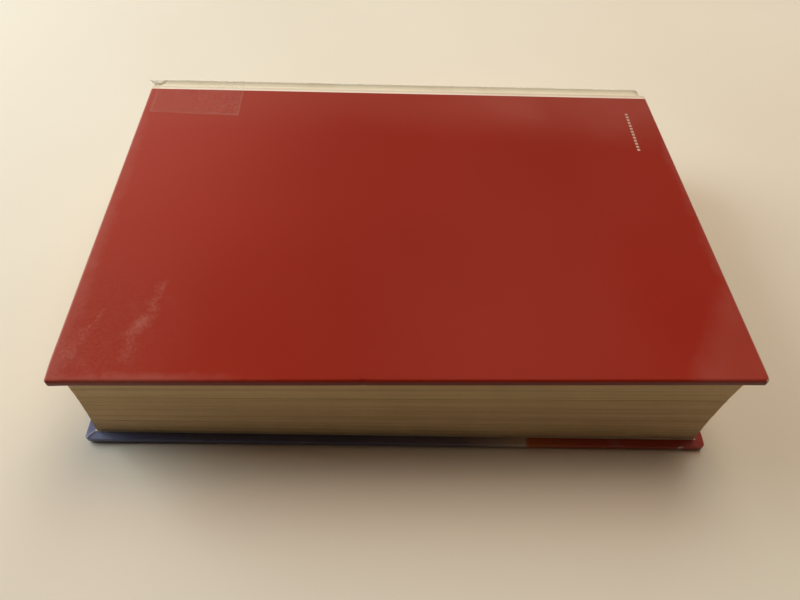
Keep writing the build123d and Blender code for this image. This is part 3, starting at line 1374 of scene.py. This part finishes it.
@dataclass
class Joint:
    """The flexible strips between the block and one cover: the groove outside and the paper hinge inside."""

    bench: Bench
    side: Side
    spine: SpinePanel
    ridge_rim_drop: float = 0.0002
    board_rim_drop: float = 0.0007
    groove_depth: float = 0.0014
    groove_wall: float = 0.00022
    groove_steps: int = 18
    groove_power: float = 2.0
    end_sink: float = 0.4
    tear_depth: float = 0.0024
    tear_reach: float = 0.003
    tear_y: float = -0.0013
    tear_width: float = 0.0009
    fold_reach: float = 0.0016
    embed: float = 0.0001
    end_gap: float = 0.0003
    hinge_overlap: float = 0.0022
    hinge_end_gap: float = 0.0036
    hinge_sink: float = 0.00002
    paper: float = 0.00018

    def bend(self, piece: Object, start_y: float) -> None:
        """Bake a piece's transform into its mesh.

        Args:
            piece: The strip.
            start_y: Where it starts to leave the block.
        """
        b = self.bench
        start, end = (
            tuple(b.place(b.on_side(Vector((0.0, y, b.leaf_high)), self.side)))
            for y in (start_y, b.cover_spine)
        )
        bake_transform(piece)

    def strip(self, half: float, line: Callable[[float], list[Span]], thick: float) -> Draft:
        """Draw a thin profile out along the spine.

        Args:
            half: Half of its length.
            line: Gives the outer line of the profile, in Y and Z, at a place along the spine.
            thick: How thick it is.

        Returns:
            The strip, still to be finished.
        """
        shrink = half / self.bench.cover_half
        rings = []
        for x in self.spine.stations():
            upper = line(x)
            lower = [(y, z - thick) for y, z in reversed(upper)]
            rings.append([(Vector((x * shrink, y, z)), 0.0) for y, z in upper + lower])
        return Draft(self.bench).loft(rings)

    def groove_line(self, x: float) -> list[Span]:
        """The groove's outer line, from the spine panel's edge down and up to the board's edge.

        Args:
            x: The place along the spine.

        Returns:
            Points in Y and Z.
        """
        b = self.bench
        inner = self.spine.inner + self.embed
        outer = b.cover_spine - self.embed
        inset = self.spine.end_inset(x)
        floor = b.top - self.groove_depth - self.end_sink * inset
        ridge_rim = b.ridge_top - self.ridge_rim_drop - inset
        board_rim = b.top - self.board_rim_drop
        points = []
        for share in eased_shares(self.groove_steps):
            rim = ridge_rim if share < 0.5 else board_rim
            rise = abs(2 * share - 1) ** self.groove_power
            points.append((inner + (outer - inner) * share, floor + (rim - floor) * rise))
        return points

    def groove(self, material: Material) -> Object:
        """Make the grooved covering between the spine panel and the board.

        Args:
            material: The spine's printed covering.

        Returns:
            The piece.
        """
        draft = self.strip(self.bench.cover_half - self.end_gap, self.groove_line, self.groove_wall)
        if self.side is Side.BACK:
            self.tear(draft)
        piece = draft.finish(f"{self.side.word}_joint_groove", material, self.side)
        self.bend(piece, self.spine.inner)
        return piece

    def tear(self, draft: Draft) -> None:
        """Tear the head end of the grooved covering and wear its fold.

        Args:
            draft: The strip.
        """
        for number, point in enumerate(draft.points):
            from_head = self.bench.cover_half + point.x
            draft.wear[number] = falloff(from_head, self.fold_reach)
            notch = falloff(point.y - self.tear_y, self.tear_width) * falloff(from_head, self.tear_reach)
            point.x += self.tear_depth * notch

    def paper_hinge(self, material: Material) -> Object:
        """Make the fold of the endpaper between the flyleaf and the pastedown.

        Args:
            material: The endpaper.

        Returns:
            The piece.
        """
        b = self.bench
        end = b.cover_spine - self.hinge_overlap
        top = b.leaf_high - self.hinge_sink + self.paper
        sheet = [(end * share, top) for share in arc_shares(self.groove_steps)]
        draft = self.strip(b.cover_half - self.hinge_end_gap, lambda x: sheet, self.paper)
        piece = draft.finish(f"{self.side.word}_paper_hinge", material, self.side)
        self.bend(piece, 0.0)
        return piece


@dataclass
class SpinePanel:
    """The case's spine: a card strip in the cream covering, with rounded ends."""

    bench: Bench
    plate: float = 0.0014
    covering: float = 0.00025
    edge_radius: float = 0.0006
    foot_length: float = 0.0046
    foot_drop: float = 0.0042
    head_length: float = 0.0062
    head_drop: float = 0.0044
    end_power: float = 1.7
    arc_steps: int = 4
    wall_steps: int = 9
    end_steps: int = 14
    body_steps: int = 40
    edge_wear: Span = (0.5, 0.3)
    wall_wear: float = 0.05
    crumple: float = 0.0008
    crumple_reach: float = 0.008
    crumple_scale: float = 260.0
    tip_root: float = 0.0065
    tip_past: float = 0.0028
    tip_back: float = 0.001
    tip_lip: float = 0.0018
    tip_lip_power: float = 1.3
    tip_wall: float = 0.0026
    tip_wall_span: Span = (0.12, 0.72)
    tip_slope: float = 0.25
    tip_thick: float = 0.00025
    tip_steps: int = 24
    tip_rows: int = 6
    tip_crease: float = 0.0003
    tip_scale: float = 900.0
    tip_wear: float = 0.55
    tip_edge_wear: float = 0.9

    @property
    def inner(self) -> float:
        """Where the panel meets the groove."""
        return self.bench.ridge_outer - self.plate

    def stations(self, within: float = 0.0) -> list[float]:
        """Places along the spine that crowd at its rounded ends.

        Args:
            within: How far inside the covering's ends they stop.

        Returns:
            Values of X from the head to the foot.
        """
        half = self.bench.cover_half - within
        head = [-half + self.head_length * 2 * s**2 for s in arc_shares(self.end_steps)]
        foot = [half - self.foot_length * 2 * s**2 for s in arc_shares(self.end_steps)]
        start, end = head[-1], foot[-1]
        body = [start + (end - start) * s for s in arc_shares(self.body_steps)][1:-1]
        return head + body + foot[::-1]

    def end_inset(self, x: float) -> float:
        """How far the panel's upper and lower edges are drawn in at a place along the spine.

        Args:
            x: The place.

        Returns:
            The distance.
        """
        length, drop = (self.head_length, self.head_drop) if x < 0 else (self.foot_length, self.foot_drop)
        into = max(1 - (self.bench.cover_half - abs(x)) / length, 0.0)
        return drop * into**self.end_power

    def section(self, x: float, within: float = 0.0) -> list[tuple[Vector, float]]:
        """The panel's section at a place along the spine.

        Args:
            x: The place.
            within: How far under the covering's surface the section lies.

        Returns:
            The section's points with their wear.
        """
        b = self.bench
        inset = self.end_inset(x) + within
        thin = self.edge_radius * (1 - min((b.cover_half - abs(x)) / self.edge_radius, 1.0)) ** 2
        y0, y1 = self.inner + thin / 2 + within, b.ridge_outer - thin / 2 - within
        z0, z1 = b.top - b.ridge_top + inset, b.ridge_top - inset
        radius = min(self.edge_radius, (y1 - y0) / 2)
        far, near, low, high = y1 - radius, y0 + radius, z0 + radius, z1 - radius
        base, gain = self.edge_wear
        points: list[tuple[Vector, float]] = []
        for corner, (y, z) in enumerate(((far, low), (far, high), (near, high), (near, low))):
            for share in arc_shares(self.arc_steps):
                angle = (corner + share - 1) * math.pi / 2
                point = Vector((x, y + radius * math.cos(angle), z + radius * math.sin(angle)))
                points.append((point, base + gain * math.sin(math.pi * share)))
            if corner in (0, 2):
                points += self.wall(points[-1][0], z1 if corner == 0 else z0)
        return [(self.crumpled(point), wear) for point, wear in points]

    def wall(self, start: Vector, end_z: float) -> list[tuple[Vector, float]]:
        """Points up or down one wall, between its two rounded edges."""
        shares = arc_shares(self.wall_steps)[1:-1]
        return [(start + Vector((0.0, 0.0, (end_z - start.z) * s)), self.wall_wear) for s in shares]

    def crumpled(self, point: Vector) -> Vector:
        """Crumple a point near the head, where the spine has been pulled at.

        Args:
            point: The point.

        Returns:
            Where it has gone.
        """
        near = falloff(self.bench.cover_half + point.x, self.crumple_reach)
        shift = noise.noise_vector(Vector((point.x, 0.0, point.z)) * self.crumple_scale)
        return point + Vector((abs(shift.x), shift.y, -abs(shift.z))) * (self.crumple * near)

    def drawn(self, name: str, material: Material, within: float) -> Object:
        """Draw the panel's section out along the spine."""
        draft = Draft(self.bench).loft([self.section(x, within) for x in self.stations(within)])
        return draft.finish(name, material)

    def panel(self, material: Material) -> Object:
        """Make the spine panel."""
        return declare(self.drawn("spine_panel", material, 0.0), "text_block", "spine_cover", "spine_wrap")

    def card(self, material: Material) -> Object:
        """Make the card strip inside the panel."""
        piece = self.drawn("spine_card", material, self.covering)
        return declare(piece, "text_block", "board", "spine_inlay")

    def tip_line(self, share: float) -> list[tuple[Vector, float]]:
        """The outer line of the loose tip's section: a lip along the ridge and a wall that hangs from it.

        Args:
            share: The place along the tip, from 0 at its point to 1 at its root.

        Returns:
            Each point with how far it is on the wall, from 0 on the lip to 1 on the wall.
        """
        b = self.bench
        x = -b.cover_half - self.tip_past + (self.tip_root + self.tip_past) * share
        start, end = self.tip_wall_span
        lip = self.tip_thick + self.tip_lip * math.sin(math.pi * share**self.tip_lip_power)
        wall = self.tip_thick + self.tip_wall * math.sin(math.pi * clamp((share - start) / (end - start)))
        far, top, slope = b.ridge_outer - self.tip_back, b.ridge_top, lip * self.tip_slope
        line = [(Vector((x, far - lip * s, top - slope * s**3)), s**4) for s in arc_shares(self.tip_rows)]
        corner = line[-1][0]
        shares = arc_shares(self.tip_rows)[1:]
        return line + [(corner + Vector((0.0, slope * s, -wall * s)), 1.0) for s in shares]

    def loose_tip(self, material: Material) -> Object:
        """Make the tip of covering that has come loose at the head of the back joint.

        Args:
            material: The spine's printed covering.

        Returns:
            The piece.
        """
        rings = []
        thick = self.tip_thick
        for share in arc_shares(self.tip_steps):
            outer = self.tip_line(share)
            under = [point + Vector((0.0, thick * hang, -thick * (1 - hang))) for point, hang in outer]
            wear = [self.tip_edge_wear] + [self.tip_wear] * (len(outer) - 2) + [self.tip_edge_wear]
            ring = list(zip([point for point, _ in outer] + under[::-1], wear + wear[::-1]))
            give = self.tip_crease * math.sin(math.pi * share)
            rings.append([(p + noise.noise_vector(p * self.tip_scale) * give, worn) for p, worn in ring])
        piece = Draft(self.bench).loft(rings).finish("loose_head_tip", material)
        return declare(piece, "text_block", "spine_cover")


@dataclass
class Block:
    """The pages with the cloth and the bands on their spine."""

    bench: Bench
    gathers: int = 33
    gather_mesh: tuple[int, int, int] = (27, 9, 2)
    gather_share: float = 0.985
    ragged: float = 0.0001
    ragged_seed: int = 7
    hollow: float = 0.0009
    cloth_start: float = 0.00005
    cloth: float = 0.0003
    bead_long: float = 0.0016
    bead_deep: float = 0.002
    band_outer: float = 0.0008
    tab: float = 0.012
    tab_thick: float = 0.0004
    tab_steps: int = 12
    thread: float = 0.00062
    thread_mesh: tuple[int, int] = (14, 7)
    thread_overlap: float = 1.35
    seat: float = 0.00005

    @staticmethod
    def tree(name: str, sizes: Sequence[str], counts: Sequence[str]) -> tuple[Wires, Marks, Marks]:
        """Start a geometry tree with named lengths and counts."""
        inputs = {"Geometry": ["Geometry"], "Float": sizes, "Int": counts, "Material": ["Material"]}
        return open_group(name, "GeometryNodeTree", inputs, {"Geometry": ["Geometry"]})

    @staticmethod
    def settle(wires: Wires, into: Marks, geometry: Feed) -> NodeSocket:
        """Make instances real and give them the material."""
        real = wires.node("GeometryNodeRealizeInstances", {0: geometry}).outputs[0]
        return wires.node("GeometryNodeSetMaterial", {0: real, "Material": into["Material"]}).outputs[0]

    @staticmethod
    def pile(wires: Wires, count: Feed, step: Feed, height: Feed, thing: Feed, scale: Feed) -> Feed:
        """Pile up copies of a thing, a step apart, about the level 0.

        Args:
            wires: The tree's wires.
            count: How many there are.
            step: The step from one to the next.
            height: The height of the whole pile.
            thing: What is piled up.
            scale: The scale of each copy.

        Returns:
            The instances.
        """
        start = wires.over(wires.less(step, height), 2.0)
        ends = {"Start Location": wires.vector(0.0, 0.0, start), "Offset": wires.vector(0.0, 0.0, step)}
        line = wires.node("GeometryNodeMeshLine", {"Count": count, **ends}).outputs[0]
        feeds = {"Points": line, "Instance": thing, "Scale": scale}
        return wires.node("GeometryNodeInstanceOnPoints", feeds).outputs[0]

    def grow(
        self, name: str, tree: NodeTree, values: dict[str, object], carry: Callable[[Vector], Vector]
    ) -> Object:
        """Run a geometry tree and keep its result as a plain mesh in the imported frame.

        Args:
            name: The piece's name.
            tree: The geometry tree.
            values: What goes into its inputs.
            carry: Takes a point of the result to the bench.

        Returns:
            The piece.
        """
        piece = stand(name, bpy.data.meshes.new(f"{name}_seed"))
        modifier = piece.modifiers.new("grow", "NODES")
        modifier.node_group = tree
        for item in tree.interface.items_tree:
            if item.in_out == "INPUT" and item.name in values:
                modifier[item.identifier] = values[item.name]
        graph = bpy.context.evaluated_depsgraph_get()
        mesh = bpy.data.meshes.new_from_object(piece.evaluated_get(graph), depsgraph=graph)
        piece.modifiers.remove(modifier)
        piece.data = mesh
        for vertex in mesh.vertices:
            vertex.co = self.bench.place(carry(vertex.co))
        return piece

    def leaves_tree(self) -> NodeTree:
        """Gathers of leaves piled up, each a little out of line, with a slightly hollow fore edge.

        Returns:
            The geometry tree.
        """
        sizes = ["Length", "Width", "Height", "Ragged", "Hollow", "Filled"]
        wires, into, out = self.tree("leaf_stack", sizes, ["Gathers"])
        step = wires.over(into["Height"], into["Gathers"])
        size = wires.vector(into["Length"], into["Width"], wires.times(step, into["Filled"]))
        steps = {f"Vertices {axis}": count for axis, count in zip("XYZ", self.gather_mesh)}
        gather = wires.node("GeometryNodeMeshCube", {"Size": size, **steps}).outputs[0]
        twice = wires.times(into["Ragged"], 2.0)
        least = [wires.less(1.0, wires.over(twice, into[word])) for word in ("Length", "Width")]
        limits = {0: wires.vector(*least, 1.0), 1: (1.0, 1.0, 1.0), "Seed": self.ragged_seed}
        scale = wires.node("FunctionNodeRandomValue", limits, data_type="FLOAT_VECTOR").outputs[0]
        pile = self.pile(wires, into["Gathers"], step, into["Height"], gather, scale)
        real = self.settle(wires, into, pile)
        _, y, z = wires.split(wires.node("GeometryNodeInputPosition").outputs[0])
        fore = wires.most(wires.over(y, wires.over(into["Width"], -2.0)), 0.0)
        level = wires.over(z, wires.over(into["Height"], 2.0))
        dish = wires.less(1.0, wires.times(level, level))
        pull = wires.vector(0.0, wires.times(fore, dish, into["Hollow"]), 0.0)
        shaped = wires.node("GeometryNodeSetPosition", {"Geometry": real, "Offset": pull}).outputs[0]
        wires.feed(out["Geometry"], shaped)
        return wires.tree

    def leaves(self, material: Material) -> Object:
        """Make the pages.

        Args:
            material: The page edges.

        Returns:
            The piece.
        """
        b = self.bench
        centre = Vector((0.0, -b.page_width / 2, b.page_middle))
        values = {
            "Length": 2 * b.page_half,
            "Width": b.page_width,
            "Height": b.page_stack,
            "Ragged": self.ragged,
            "Hollow": self.hollow,
            "Filled": self.gather_share,
            "Gathers": self.gathers,
            "Material": material,
        }
        piece = self.grow("leaf_stack", self.leaves_tree(), values, lambda point: point + centre)
        return declare(piece, "text_block", "pages", "text_block")

    def band_tree(self) -> NodeTree:
        """A row of thread turns over a core, with the tab that is glued to the spine.

        Returns:
            The geometry tree.
        """
        sizes = ["Height", "Long", "Deep", "Pitch", "Tab", "Thick"]
        wires, into, out = self.tree("thread_band", sizes, ["Turns"])
        segments, rings = self.thread_mesh
        ball = {"Segments": segments, "Rings": rings, "Radius": 0.5}
        turn = wires.node("GeometryNodeMeshUVSphere", ball).outputs[0]
        size = wires.vector(into["Long"], into["Deep"], wires.times(into["Pitch"], self.thread_overlap))
        turns = self.pile(wires, into["Turns"], into["Pitch"], into["Height"], turn, size)
        tab_size = wires.vector(into["Tab"], into["Thick"], into["Height"])
        tab = wires.node("GeometryNodeMeshCube", {"Size": tab_size, "Vertices Z": self.tab_steps}).outputs[0]
        across = wires.over(wires.less(into["Deep"], into["Thick"]), 2.0)
        along = wires.over(wires.plus(into["Tab"], into["Long"]), -2.0)
        shift = {"Geometry": tab, "Translation": wires.vector(along, across, 0.0)}
        joined = wires.node("GeometryNodeJoinGeometry")
        for part in (turns, wires.node("GeometryNodeTransform", shift).outputs[0]):
            wires.feed(joined.inputs[0], part)
        wires.feed(out["Geometry"], self.settle(wires, into, joined.outputs[0]))
        return wires.tree

    def bands(self, material: Material) -> list[Object]:
        """Make the bands at the head and the foot.

        Args:
            material: The thread.

        Returns:
            The two pieces.
        """
        b = self.bench
        turns = round(b.page_stack / self.thread)
        values = {
            "Height": b.page_stack,
            "Long": self.bead_long,
            "Deep": self.bead_deep,
            "Pitch": b.page_stack / turns,
            "Tab": self.tab,
            "Thick": self.tab_thick,
            "Turns": turns,
            "Material": material,
        }
        along = b.page_half + self.seat + self.bead_long / 2
        centre = Vector((along, self.band_outer - self.bead_deep / 2, b.page_middle))
        tree = self.band_tree()
        pieces = []
        for name, end in (("head_band", -1.0), ("tail_band", 1.0)):
            to_end = Matrix.Diagonal((end, 1.0, 1.0))
            piece = self.grow(f"{name}_threads", tree, values, lambda point: to_end @ (point + centre))
            smooth_outward(piece.data)
            pieces.append(declare(piece, "text_block", "band", name))
        return pieces

    def spine_cloth(self, material: Material) -> Object:
        """Make the open cloth on the spine of the pages.

        Args:
            material: The cloth.

        Returns:
            The piece.
        """
        b = self.bench
        near, far = self.cloth_start, self.cloth_start + self.cloth
        corners = ((near, b.page_low), (far, b.page_low), (far, b.page_high), (near, b.page_high))
        stations = [-b.page_half + 2 * b.page_half * s for s in arc_shares(self.gathers)]
        draft = Draft(b).loft([[(Vector((x, y, z)), 0.0) for y, z in corners] for x in stations])
        piece = draft.finish("spine_cloth_panel", material)
        return declare(piece, "text_block", "spine_cloth", "spine_cloth")


@dataclass
class Tape:
    """The strip of clear tape over the back joint at the head."""

    bench: Bench
    spine: SpinePanel
    film: float = 0.00009
    gap: float = 0.00003
    head_near: float = 0.0036
    head_far: float = 0.0062
    length_near: float = 0.0478
    length_far: float = 0.0472
    reach_head: float = 0.0268
    reach_end: float = 0.0287
    on_spine: float = 0.0131
    ridge_radius: float = 0.0005
    sag: float = 0.00035
    stations: int = 44
    cover_steps: int = 14
    bridge_steps: int = 10
    arc_steps: int = 5
    wall_steps: int = 8
    wrinkle: float = 0.0003
    wrinkle_scale: float = 230.0
    edge_milk: float = 0.75
    edge_rows: float = 0.8
    loose_milk: float = 0.3

    @property
    def ridge_middle(self) -> float:
        """The middle of the spine panel's upper edge, where the tape comes down on it."""
        return self.bench.ridge_outer - self.spine.plate / 2

    def line(self, along: float) -> list[Span]:
        """The tape's way over cover, joint, ridge and spine at one place along it.

        Args:
            along: The place, from 0 at the head to 1 at the tape's end.

        Returns:
            Points in Y and Z on the film's lower side.
        """
        b = self.bench
        near = -(self.reach_head + (self.reach_end - self.reach_head) * along)
        level, ridge = b.top + self.gap, b.ridge_top + self.gap
        edge, start = b.cover_spine - self.ridge_radius, self.ridge_middle
        points = [(near + (edge - near) * s, level) for s in arc_shares(self.cover_steps)]
        for s in arc_shares(self.bridge_steps)[1:]:
            drop = self.sag * math.sin(math.pi * s)
            points.append((edge + (start - edge) * s, level + (ridge - level) * s - drop))
        radius = self.ridge_radius + self.gap
        y, z = b.ridge_outer + self.gap - radius, ridge - radius
        for s in arc_shares(self.arc_steps):
            angle = math.pi / 2 * (1 - s)
            points.append((y + radius * math.cos(angle), z + radius * math.sin(angle)))
        bottom = b.ridge_top - self.on_spine
        wall_y, wall_z = points[-1]
        return points + [(wall_y, wall_z + (bottom - wall_z) * s) for s in arc_shares(self.wall_steps)[1:]]

    def span(self, row: int) -> Span:
        """Where the tape starts and ends along the spine, in one row of its way over the book.

        Args:
            row: The row.

        Returns:
            Two values of X.
        """
        half = self.bench.cover_half
        share = clamp((row - self.cover_steps) / self.bridge_steps)
        start = self.head_near + (self.head_far - self.head_near) * share
        end = self.length_near + (self.length_far - self.length_near) * share
        return -half + start, -half + end

    def ring(self, share: float) -> list[tuple[Vector, float]]:
        """The tape's section at one place along it, wrinkled where it bridges the joint.

        Args:
            share: The place, from 0 at the head to 1 at the tape's end.

        Returns:
            The points of both sides of the film, with how milky each one is.
        """
        lower = self.line(share)
        last = len(lower) - 1
        under: list[tuple[Vector, float]] = []
        over: list[tuple[Vector, float]] = []
        for row, (y, z) in enumerate(lower):
            start, end = self.span(row)
            x = start + (end - start) * share
            loose = float(self.bench.cover_spine < y < self.ridge_middle)
            crease = noise.noise(Vector((x, y * 2, 0.0)) * self.wrinkle_scale) * self.wrinkle * loose
            border = min(row, last - row, share * self.stations, (1 - share) * self.stations)
            milky = self.edge_milk * falloff(border, self.edge_rows) + self.loose_milk * loose
            point = Vector((x, y, z + crease))
            outward = (0.0, self.film, 0.0) if row > last - self.wall_steps else (0.0, 0.0, self.film)
            under.append((point, milky))
            over.append((point + Vector(outward), milky))
        return under + over[::-1]

    def build(self, material: Material) -> Object:
        """Make the tape.

        Args:
            material: The film.

        Returns:
            The piece.
        """
        b = self.bench
        draft = Draft(b).loft([self.ring(share) for share in eased_shares(self.stations)])
        piece = draft.finish("joint_tape", material)
        start, end = (tuple(b.place(Vector((0.0, y, b.top)))) for y in (self.spine.inner, b.cover_spine))
        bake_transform(piece)
        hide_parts("back_cover_tape", "spine_tape")
        return piece


@dataclass(frozen=True)
class Lamp:
    """A soft square lamp that looks at the book."""

    name: str
    position: tuple[float, float, float]
    size: float
    power: float
    colour: tuple[float, float, float]

    def build(self) -> None:
        """Hang the lamp, unseen by the camera and in reflections."""
        light = bpy.data.lights.new(self.name, "AREA")
        light.size = self.size
        light.energy = self.power
        light.color = self.colour
        lamp = stand(self.name, light)
        lamp.location = self.position
        lamp.rotation_euler = Vector(self.position).to_track_quat("Z", "Y").to_euler()
        lamp.visible_camera = False
        lamp.visible_glossy = False


@dataclass
class Studio:
    """The table, the light and the camera."""

    table_half: float = 4.0
    table_steps: int = 8
    dim_sky: Colour = (0.022, 0.013, 0.006, 1.0)
    bright_sky: Colour = (1.9, 1.45, 1.25, 1.0)
    mirrored_sky: Colour = (0.13, 0.12, 0.09, 1.0)
    backdrop: Colour = (0.78, 0.71, 0.6, 1.0)
    window_way: tuple[float, float, float] = (-0.74, 0.64, 0.2)
    sky_turn: Span = (0.6, 1.0)
    lamps: tuple[Lamp, ...] = (
        Lamp("left_light", (-0.9, 0.3, 0.6), 0.7, 7.6, (0.75, 0.95, 1.0)),
        Lamp("far_light", (0.4, 1.0, 1.1), 1.0, 6.8, (0.86, 1.0, 0.9)),
        Lamp("top_light", (0.3, 0.3, 1.3), 0.8, 8.2, (1.0, 0.75, 0.56)),
    )
    eye: tuple[float, float, float] = (-0.01483, -0.20742, 0.24926)
    pitch: float = math.radians(51.9925)
    yaw: float = math.radians(4.3801)
    roll: float = math.radians(3.7834)
    focal_pixels: float = 629.73
    image_width: float = 800.0
    sensor: float = 36.0
    near_clip: float = 0.01

    def table(self, material: Material) -> Object:
        """Lay the table's surface.

        Args:
            material: Its finish.

        Returns:
            The floor object.
        """
        mesh = bpy.data.meshes.new("table_top")
        work = bmesh.new()
        steps = {"x_segments": self.table_steps, "y_segments": self.table_steps}
        bmesh.ops.create_grid(work, size=self.table_half, **steps)
        work.to_mesh(mesh)
        work.free()
        mesh.materials.append(material)
        top = stand("table_top", mesh)
        return top

    def light(self) -> None:
        """Hang the lamps and set a sky that brightens towards the window."""
        world = bpy.data.worlds.new("room")
        world.use_nodes = True
        wires = Wires(world.node_tree)
        way = wires.node("ShaderNodeTexCoord").outputs["Generated"]
        facing = wires.ways("DOT_PRODUCT", way, tuple(Vector(self.window_way).normalized()))
        share = wires.ease(facing.outputs["Value"], *self.sky_turn)
        ray = wires.node("ShaderNodeLightPath").outputs
        room = wires.mix(ray["Is Glossy Ray"], self.dim_sky, self.mirrored_sky)
        shown = wires.mix(ray["Is Camera Ray"], wires.mix(share, room, self.bright_sky), self.backdrop)
        wires.feed(world.node_tree.nodes["Background"].inputs["Color"], shown)
        bpy.context.scene.world = world
        bpy.context.scene.view_settings.view_transform = "Standard"
        for lamp in self.lamps:
            lamp.build()

    def camera(self) -> None:
        """Stand the camera where the photograph was taken."""
        ahead = Vector((
            math.sin(self.yaw) * math.cos(self.pitch),
            math.cos(self.yaw) * math.cos(self.pitch),
            -math.sin(self.pitch),
        ))
        level = Vector((math.cos(self.yaw), -math.sin(self.yaw), 0.0))
        up = level.cross(ahead)
        right = level * math.cos(self.roll) + up * math.sin(self.roll)
        above = up * math.cos(self.roll) - level * math.sin(self.roll)
        lens = bpy.data.cameras.new("camera")
        lens.sensor_width = self.sensor
        lens.lens = self.focal_pixels * self.sensor / self.image_width
        lens.clip_start = self.near_clip
        camera = stand("camera", lens)
        turn = Matrix((right, above, -ahead)).transposed().to_4x4()
        camera.matrix_world = Matrix.Translation(self.eye) @ turn
        bpy.context.scene.camera = camera


def dress_node(name: str, material: Material) -> None:
    """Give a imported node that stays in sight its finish.

    Args:
        name: The node.
        material: Its finish.
    """
    slots = frame["nodes"][name].data.materials
    slots.clear()
    slots.append(material)
    LOG.info("dressed %s", name)


def report(*pieces: Object) -> None:
    """Log each finished piece with its count of faces."""
    for piece in pieces:
        LOG.info("made %s, %d faces", piece.name, len(piece.data.polygons))


def back_print(bench: Bench, effects: dict[str, NodeTree]) -> Material:
    """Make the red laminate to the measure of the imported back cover.

    Args:
        bench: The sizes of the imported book.
        effects: The shared shader groups.

    Returns:
        The material.
    """
    return BackPrint(
        "red_laminate",
        effects,
        top=bench.top,
        head_edge=bench.middle - bench.cover_half,
        foot_edge=bench.middle + bench.cover_half,
        fore_edge=bench.spine_edge + bench.cover_fore,
        joint_edge=bench.spine_edge + bench.cover_spine,
    ).build()


def main() -> None:
    """Build the book's pieces in order, then the table, the light and the camera."""
    logging.basicConfig(level=logging.INFO)
    noise.seed_set(CRUMPLE_SEED)
    bench = Bench.read()
    studio = Studio()
    effects = Effects().build()

    red = back_print(bench, effects)
    front = FrontPrint("blue_and_red_laminate", effects, lean=bench.lean).build()
    cream = CreamPrint("cream_laminate", effects).build()
    endpaper = Paper("endpaper", effects).build()
    greyboard = Greyboard("greyboard", effects).build()
    kraft = Kraft("kraft_lining", effects).build()
    edges = PageEdges("page_edges", effects).build()
    cloth = Woven("open_cloth", effects).build()
    thread = BandThread("band_thread", effects).build()
    film = ClearTape("clear_tape", effects).build()
    pale = PaleTable("pale_table", effects, backdrop=studio.backdrop).build()

    spine = SpinePanel(bench)
    for side, print_finish in ((Side.BACK, red), (Side.FRONT, front)):
        cover = Cover(bench, side)
        joint = Joint(bench, side, spine)
        report(cover.skin(print_finish), cover.core(greyboard), cover.pastedown(endpaper))
        report(joint.groove(cream), joint.paper_hinge(endpaper))
        dress_node(f"{side.word}_flyleaf", endpaper)

    block = Block(bench)
    report(block.leaves(edges), *block.bands(thread), block.spine_cloth(cloth))
    report(spine.panel(cream), spine.card(greyboard), spine.loose_tip(cream))
    dress_node("spine_lining", kraft)
    report(Tape(bench, spine).build(film))

    report(studio.table(pale))
    studio.light()
    studio.camera()


if __name__ == "__main__":
    main()
